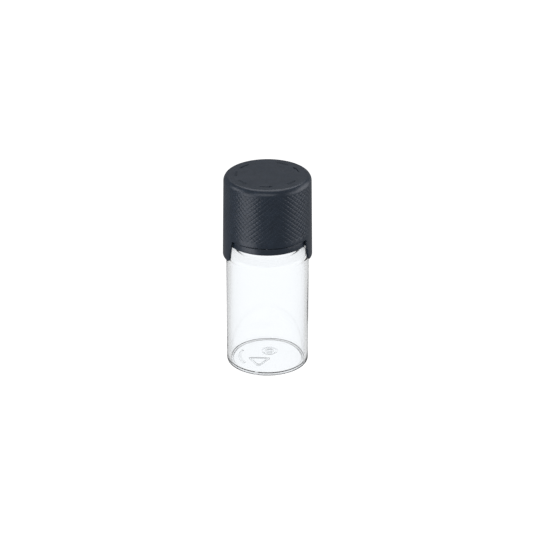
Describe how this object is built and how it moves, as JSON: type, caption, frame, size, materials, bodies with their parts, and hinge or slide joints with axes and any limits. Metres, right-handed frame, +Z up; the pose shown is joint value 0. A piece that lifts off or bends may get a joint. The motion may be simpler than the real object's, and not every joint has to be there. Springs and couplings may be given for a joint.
{
  "type": "sample vial with push-down-and-turn closure",
  "caption": "Straight-walled clear plastic vial with a threaded neck and a dark knurled push-down-and-turn closure with side tabs.",
  "frame": {"origin": "centre of the vial's stand ring, on the surface that the vial stands on", "axes": "+Z up along the vial's axis, +X through the middle of one of the closure's two tabs"},
  "size_m": [0.0412, 0.0408, 0.0933],
  "materials": {
    "clear_vial": "clear, glossy blow-moulded",
    "closure_plastic": "fine matt moulded, slate blue-black",
    "band_plastic": "satin moulded, slate blue-black",
    "inner_plastic": "satin moulded",
    "spring_plastic": "natural moulded, slightly translucent",
    "liner_foam": "closed-cell foam with a smooth skin"
  },
  "bodies": {
    "vial": {"vial_body": "clear_vial"},
    "band": {"tamper_band": "band_plastic"},
    "seal_carriage": {"liner": "liner_foam"},
    "inner_closure": {"inner_cap": "inner_plastic"},
    "spring_carriage": {"spring_ring": "spring_plastic"},
    "outer_closure": {"outer_cap": "closure_plastic"}
  },
  "joints": [
    {"name": "tamper_band_spin", "type": "hinge", "parent": "vial", "child": "band", "pos_m": [0, 0, 0.0635], "axis": [0, 0, 1], "continuous": true},
    {"name": "closure_rise", "type": "slide", "parent": "vial", "child": "seal_carriage", "axis": [0, 0, 1], "range_m": [0, 0.0318]},
    {"name": "closure_unscrew", "type": "hinge", "parent": "seal_carriage", "child": "inner_closure", "pos_m": [0, 0, 0.078], "axis": [0, 0, 1], "range_deg": [0, 2700]},
    {"name": "outer_cap_spin", "type": "hinge", "parent": "inner_closure", "child": "spring_carriage", "pos_m": [0, 0, 0.089], "axis": [0, 0, 1], "continuous": true},
    {"name": "outer_cap_push", "type": "slide", "parent": "spring_carriage", "child": "outer_closure", "axis": [0, 0, 1], "range_m": [-0.0016, 0], "stiffness_N_per_m": 2000, "springref_m": 0.0005, "deforming": ["spring_ring"]}
  ],
  "couplings": [
    {"joint": "closure_rise", "follows": "closure_unscrew", "m_per_rad": 0.00067376}
  ]
}
